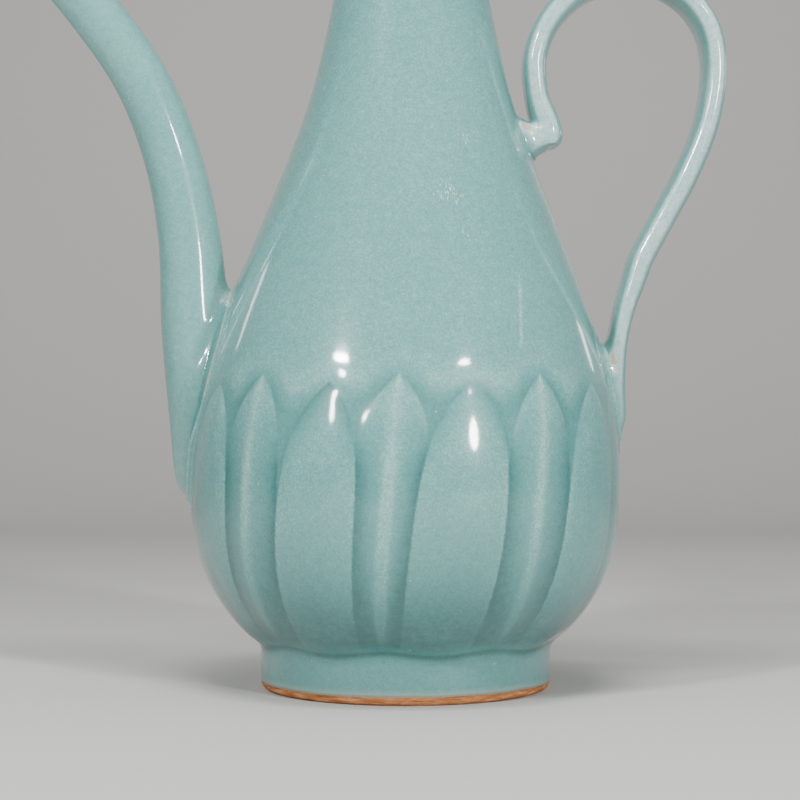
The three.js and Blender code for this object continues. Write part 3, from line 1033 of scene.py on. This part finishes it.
def bottle_rings(heights, columns):
    """Outer rings of the bottle, run into the luted pieces, their glaze with painted shade low
    down, and their wear.
    """
    high = np.repeat(heights[:, None], columns, axis=1)
    angle = np.repeat(ring_angles(columns)[None, :], len(heights), axis=0)
    radius = bottle_radius(high, angle)
    points = turned_rings(radius, heights, columns)
    outward = np.stack([np.sin(angle), -np.cos(angle), np.zeros_like(angle)], axis=-1)
    glaze = on_grid(CARVED_POOL, high, angle) * (1 - plain_share(high))
    # Darker low on the belly and above the foot: partly glaze that ran down, partly painted
    # shade
    glaze += LOW_POOL_AND_SHADE * (1 - smoothstep(high, *LOW_POOL_AND_SHADE_FADE))
    heel = bell(high - HEEL_POOL_AND_SHADE_HEIGHT, HEEL_POOL_AND_SHADE_SPREAD)
    glaze += HEEL_POOL_AND_SHADE * heel * smoothstep(high, *HEEL_POOL_AND_SHADE_START)
    swell = np.zeros_like(radius)
    for form, blend, across, tall, seam in LUTED:
        near = (points[..., 0] > across[0]) & (points[..., 0] < across[1])
        near &= np.abs(points[..., 1]) < LUTED_HALF_WIDTH
        near &= (high > tall[0]) & (high < tall[1])
        if not near.any():
            continue
        shift = fillet(points[near], outward[near], form.distance, blend)
        gap = np.maximum(form.distance(points[near]), 0)
        line, patch = 0.0, 0.0
        if seam is not None:
            beside = gap - np.interp(high[near], *zip(*seam))
            for added, rise, width in SEAM_LINES:
                line = line + rise * bell(beside - added, width)
            line = line * smoothstep(gap, *SEAM_LINE_START)
            patch = SEAM_POOL * (1 - smoothstep(beside, *SEAM_POOL_END))
            patch = patch * (high[near] < seam[-1][0])
        swell[near] = np.maximum(swell[near], shift + line)
        corner = fillet_pool(shift, blend) * smoothstep(gap, 0, 2)
        glaze[near] += corner - SEAM_LINE_THINNING * line + patch
    points = points + outward * swell[..., None]
    over = np.maximum(glaze - POOL_KNEE, 0)
    glaze = glaze - over + POOL_ROOM * (1 - np.exp(-over / POOL_ROOM))
    thin = np.clip(near_spots(points, THIN_SPOTS) + hairline(points), 0, 1)
    glaze = glaze - BOTTLE_SPOT_THINNING * thin
    glaze = glaze - WORN_EDGE_THINNING * worn_edge(points)
    worn = np.clip(near_spots(points, WORN_SPOTS) + worn_edge(points), 0, MOST_WORN)
    return points, glaze, worn


def build_bottle(material, foot_material):
    """The foot ring, and one skin of glaze over belly, shoulder and neck."""
    fine, fine_glaze, fine_worn = bottle_rings(CARVED_HEIGHTS, COLUMNS)
    fine_normals = grid_normals(fine)
    joint = np.count_nonzero(CARVED_HEIGHTS < 1e-6) - 1

    inner_radius = FOOT_RADIUS - FOOT_WALL
    recess = [
        (JOINT_RADIUS - BASE_OVERLAP, 0.0),
        (inner_radius - 0.8, 0.0),
        (inner_radius - 0.2, -FOOT_HEIGHT * 0.5),
        (inner_radius, 1.2 - FOOT_HEIGHT),
        (inner_radius + 0.4, 0.4 - FOOT_HEIGHT),
        (inner_radius + 1.2, -FOOT_HEIGHT),
    ]
    inner = turned_rings(*zip(*recess), COLUMNS)
    mesh = skin_mesh(
        "foot_ring_glazed",
        [*fine[: joint + 1], *inner],
        [fine_glaze[: joint + 1], np.zeros(inner.shape[:2])],
        normals=fine_normals[: joint + 1].reshape(-1, 3),
        loop=True,
    )
    new_piece(mesh, "ewer", "foot_glaze", foot_material, "foot_ring")

    top = MOUTH_HEIGHT - WALL / 2
    coarse_rows = np.linspace(CARVED_HEIGHTS[-1], top, COARSE_ROWS + 1)[1:]
    coarse, coarse_glaze, coarse_worn = bottle_rings(coarse_rows, COARSE_COLUMNS)
    turn = np.linspace(0, math.pi, 14)[1:-1]
    lip_radius = outer_radius(top) - WALL / 2 * (1 - np.cos(turn))
    lip = turned_rings(lip_radius, top + WALL / 2 * np.sin(turn), COARSE_COLUMNS)
    down = np.linspace(top, FLOOR, INSIDE_ROWS)
    inside = turned_rings(outer_radius(down) - WALL, down, COARSE_COLUMNS)
    under = turned_rings([JOINT_RADIUS - BASE_OVERLAP], [0.0], COLUMNS)
    rings = [*under, *fine[joint:], *coarse, *lip, *inside]
    glaze = [
        np.zeros(COLUMNS),
        fine_glaze[joint:],
        coarse_glaze,
        np.full(lip.shape[:2], LIP_GLAZE),
        np.full(inside.shape[:2], INSIDE_GLAZE),
    ]
    normals = np.concatenate([np.zeros((COLUMNS, 3)), fine_normals[joint:-1].reshape(-1, 3)])
    mesh = skin_mesh(
        "bottle_glazed", rings, glaze, normals=normals, first=(0, 0, 0), last=(0, 0, FLOOR)
    )
    worn = [np.zeros(COLUMNS), fine_worn[joint:].ravel(), coarse_worn.ravel()]
    store(mesh, "worn", np.concatenate(worn))
    new_piece(mesh, "ewer", "body_glaze", material, "lower_body", "shoulder", "neck")


def in_plane(point):
    """A point of the XZ plane in three dimensions."""
    return (point[0], 0, point[1])


def build_spout(material):
    """The spout with its lip and the start of its bore."""
    length = spout.lengths[-1]
    lengths = np.linspace(0, length, SPOUT_ROWS)
    points, outward = spout.rings(lengths, SPOUT_CORNERS)
    shift = fillet(points, outward, bottle_distance, SPOUT_BLEND)
    points = points + outward * shift[..., None]
    glaze = SPOUT_GLAZE + fillet_pool(shift, SPOUT_BLEND)
    glaze -= SPOUT_SPOT_THINNING * near_spots(points, THIN_SPOTS)
    glaze += LIP_GLAZE * smoothstep(lengths, length - 4, length)[:, None]
    forward = np.array(in_plane(spout.at(length)[1]))
    lip = []
    for turn in np.linspace(0, math.pi, 10)[1:-1]:
        inset = SPOUT_WALL / 2 * (1 - math.cos(turn))
        ring, _ = spout.rings([length], SPOUT_CORNERS, inset=inset)
        lip.append(ring[0] + SPOUT_LIP * math.sin(turn) * forward)
    inward = np.linspace(length, length * BORE_END, BORE_ROWS)
    bore, _ = spout.rings(inward, SPOUT_CORNERS, inset=SPOUT_WALL)
    end = spout.at(inward[-1])[0]
    mesh = skin_mesh(
        "spout_glazed",
        [*points, *lip, *bore],
        [
            glaze,
            np.full((len(lip), SPOUT_CORNERS), LIP_GLAZE),
            np.full(bore.shape[:2], BORE_GLAZE),
        ],
        first=in_plane(spout.centres[0]),
        last=in_plane(end),
    )
    new_piece(mesh, "ewer", "spout_glaze", material, "spout", "spout_luting_coil")


def closed_sweep(name, form, rows):
    """A closed mesh of a whole sweep."""
    points, _ = form.rings(np.linspace(0, form.lengths[-1], rows), HANDLE_CORNERS)
    first, last = in_plane(form.centres[0]), in_plane(form.centres[-1])
    return skin_mesh(name, points, [], first=first, last=last)


def run_together(name, meshes):
    """One skin round several closed meshes, with the corners between them softened."""
    vertices, faces = [], []
    for mesh in meshes:
        start = len(vertices)
        vertices += [tuple(vertex.co) for vertex in mesh.vertices]
        faces += [tuple(i + start for i in polygon.vertices) for polygon in mesh.polygons]
    rough = bpy.data.meshes.new(name + "_rough")
    rough.from_pydata(vertices, [], faces)
    shape = in_scene(name + "_rough", rough)
    remesh = shape.modifiers.new("remesh", "REMESH")
    remesh.mode = "VOXEL"
    remesh.voxel_size = HANDLE_VOXEL * MM
    smooth = shape.modifiers.new("smooth", "SMOOTH")
    smooth.factor = 0.5
    smooth.iterations = HANDLE_SMOOTHING
    view = bpy.context.evaluated_depsgraph_get()
    result = bpy.data.meshes.new_from_object(shape.evaluated_get(view))
    result.name = name
    bpy.data.objects.remove(shape)
    for mesh in [rough, *meshes]:
        bpy.data.meshes.remove(mesh)
    return result


def build_handle(material):
    """Strap and stub as one glazed skin, run into the bottle where they were luted."""
    mesh = run_together(
        "handle_glazed",
        [closed_sweep("strap", strap, STRAP_ROWS), closed_sweep("stub", stub, STUB_ROWS)],
    )
    count = len(mesh.vertices)
    flat = np.empty(count * 3, np.float32)
    mesh.vertices.foreach_get("co", flat)
    points = flat.reshape(-1, 3).astype(float)
    points[:, 0] -= AXIS_X
    points[:, 2] -= FOOT_HEIGHT * MM
    points /= MM
    mesh.vertex_normals.foreach_get("vector", flat)
    outward = flat.reshape(-1, 3).astype(float)
    shift = fillet(points, outward, bottle_distance, STRAP_BLEND)
    points = points + outward * shift[:, None]
    mesh.vertices.foreach_set("co", place(points).astype(np.float32).ravel())
    mesh.shade_smooth()
    side = np.abs(outward[:, 1])
    arris = smoothstep(side, *ARRIS_RISE) * (1 - smoothstep(side, *ARRIS_FALL))
    # Inner and outer faces of the strap keep deeper glaze as painted shade; its broad sides are
    # thinner and paler
    glaze = STRAP_GLAZE_AND_SHADE - STRAP_SIDE_THINNING_AND_SHADE * smoothstep(side, *STRAP_SIDE)
    glaze -= ARRIS_THINNING * arris
    gap = np.maximum(bottle_distance(points), 0)
    glaze += LUTED_POOL * bell(gap, LUTED_POOL_REACH)
    glaze += fillet_pool(shift, STRAP_BLEND)
    glaze -= HANDLE_SPOT_THINNING * near_spots(points, THIN_SPOTS)
    store(mesh, "glaze", glaze)
    new_piece(
        mesh, "ewer", "handle_glaze", material, "handle_strap", "handle_stub", "stub_luting_coil"
    )


def lid_rings(profile):
    """Rings of the lid at the mouth's height, from pairs of radius and height."""
    radius, height = np.asarray(profile, float).T
    return turned_rings(radius, height, LID_COLUMNS, leaned=False) + LID_PLACE


def build_lid(material):
    """The lid's cap, its flange and its knob."""
    edge = MOUTH_RADIUS + LID_OVERHANG
    flange = float(outer_radius(MOUTH_HEIGHT - FLANGE_DEPTH)) - WALL - FLANGE_CLEARANCE
    inside = flange - FLANGE_WALL
    dome = [
        (edge * share, LID_EDGE_HEIGHT + (LID_DOME - LID_EDGE_HEIGHT) * math.sqrt(1 - share**2))
        for share in np.linspace(0.985, 0.18, DOME_ROWS)
    ]
    rim = [
        (edge - 1.1, 0.0),
        (edge - 0.4, 0.15),
        (edge - 0.05, 0.7),
        (edge, 1.2),
        (edge - 0.1, 1.9),
    ]
    under = [(inside * 0.5, 2.6), (inside * 0.9, 1.6), (inside, 0.0)]
    cap = np.array(under + rim + dome)
    thin_edge = LIP_GLAZE * bell(cap[:, 0] - edge, 1.5)
    mesh = skin_mesh(
        "lid_cap_glazed",
        lid_rings(cap),
        [np.repeat(thin_edge, LID_COLUMNS)],
        first=LID_PLACE + (0, 0, 2.8),
        last=LID_PLACE + (0, 0, LID_DOME),
    )
    new_piece(mesh, "lid", "lid_glaze", material, "lid_cap")
    wall = [
        (flange, 0),
        (flange, -FLANGE_DEPTH + 0.8),
        (flange - 0.8, -FLANGE_DEPTH),
        (inside + 0.5, -FLANGE_DEPTH),
        (inside, -FLANGE_DEPTH + 0.5),
        (inside, 0),
    ]
    mesh = skin_mesh("lid_flange_glazed", lid_rings(wall), [], loop=True)
    new_piece(mesh, "lid", "lid_glaze", material, "lid_flange")
    bud = catmull_rom(
        [
            (KNOB_STEM + 1.2, 0),
            (KNOB_STEM, 0.14),
            (KNOB_RADIUS * 0.84, 0.34),
            (KNOB_RADIUS, 0.52),
            (KNOB_RADIUS * 0.86, 0.7),
            (KNOB_RADIUS * 0.45, 0.87),
            (0.3, 1.0),
        ],
        np.linspace(0, 1, KNOB_ROWS),
        True,
    )
    heights = LID_DOME + bud[:, 1] * KNOB_HEIGHT
    pooled_foot = KNOB_FOOT_POOL * bell(bud[:, 1], 0.12)
    mesh = skin_mesh(
        "lid_knob_glazed",
        lid_rings(np.stack([bud[:, 0], heights], axis=-1)),
        [np.repeat(pooled_foot, LID_COLUMNS)],
        first=LID_PLACE + (0, 0, LID_DOME),
        last=LID_PLACE + (0, 0, LID_DOME + KNOB_HEIGHT),
    )
    new_piece(mesh, "lid", "lid_glaze", material, "lid_knob")


body_material = glaze_material("celadon_body", speckle=0.62)
foot_material = glaze_material("celadon_foot", speckle=0.5, bare_height=2.9 * MM)
spout_material = glaze_material("celadon_spout", shade=-0.08)
# The handle's glaze is set paler: partly thinner glaze, partly a painted highlight for its
# brightly lit faces
handle_material = glaze_material("celadon_handle", shade=-0.18)
build_bottle(body_material, foot_material)
build_spout(spout_material)
build_handle(handle_material)
build_lid(body_material)

# Stage, in metres. Lights: angles from the camera's side, distance, size and power
LIGHTS = [
    ("key_left", (-39.5, 28.8, 1.2), (0.16, 0.065), 9.0),
    ("petal_left", (-38, 20.5, 1.2), (0.075, 0.13), 3.8),
    ("key_right", (35.5, 11, 1.2), (0.12, 0.22), 12.0),
    ("spot_right", (33.5, 26, 1.2), (0.12, 0.07), 3.6),
    ("rim_left", (-120, 21, 0.9), (0.04, 0.16), 0.15),
    ("rim_right", (130, 12.5, 0.9), (0.06, 0.13), 0.16),
    ("front_top", (0, 68, 1.1), (0.5, 0.22), 9.8),
    ("overhead", (0, 92, 1.2), (0.9, 0.6), 4.0),
]
LIT_HEIGHT = 0.12
SKY = (0.9, 0.95, 1.0, 1)
SKY_STRENGTH = 0.08
PAPER = linear(186, 185, 182)


def build_stage():
    """A pale floor that curves up into a backdrop."""
    near, far, bend, top, side = -2.2, 0.8, 0.4, 1.5, 1.6
    profile = [(near, 0.0), (far, 0.0)]
    profile += [
        (far + bend * math.sin(a), bend * (1 - math.cos(a)))
        for a in np.linspace(0, math.pi / 2, 16)[1:]
    ]
    profile.append((far + bend, top))
    points = [(x, y, z) for y, z in profile for x in (-side, side)]
    faces = [(2 * i, 2 * i + 1, 2 * i + 3, 2 * i + 2) for i in range(len(profile) - 1)]
    mesh = bpy.data.meshes.new("floor")
    mesh.from_pydata(points, [], faces)
    mesh.shade_smooth()
    floor = in_scene("floor", mesh)
    material = bpy.data.materials.new("floor_paper")
    nodes = Nodes(material)
    shader = nodes.add("ShaderNodeBsdfPrincipled", {"Base Color": PAPER, "Roughness": 0.75})
    nodes.add("ShaderNodeOutputMaterial", {"Surface": shader.outputs["BSDF"]})
    mesh.materials.append(material)


def build_lights():
    """Small soft keys in front of the ewer, large dim ones above it, and narrow ones behind."""
    world = bpy.data.worlds.new("studio")
    world.use_nodes = True
    background = world.node_tree.nodes["Background"]
    background.inputs["Color"].default_value = SKY
    background.inputs["Strength"].default_value = SKY_STRENGTH
    bpy.context.scene.world = world
    middle = Vector((AXIS_X, 0.0, LIT_HEIGHT))
    for name, (azimuth, elevation, distance), size, power in LIGHTS:
        a, e = math.radians(azimuth), math.radians(elevation)
        way = Vector((math.sin(a) * math.cos(e), -math.cos(a) * math.cos(e), math.sin(e)))
        light = bpy.data.lights.new(name, "AREA")
        light.shape = "ELLIPSE"
        light.size, light.size_y = size
        light.energy = power
        lamp = in_scene(name, light)
        lamp.location = middle + way * distance
        lamp.rotation_euler = (middle - lamp.location).to_track_quat("-Z", "Y").to_euler()


def build_camera():
    """The photograph's view: level, straight from the side."""
    distance, height, aside, lens = 0.6943, 0.0953, -0.0018, 93.7
    camera = bpy.data.cameras.new("camera")
    camera.lens = lens
    camera.sensor_width = 36
    camera.clip_start = 0.01
    eye = in_scene("camera", camera)
    eye.location = (AXIS_X + aside, -distance, height)
    eye.rotation_euler = (math.pi / 2, 0, 0)
    bpy.context.scene.camera = eye


build_stage()
build_lights()
build_camera()
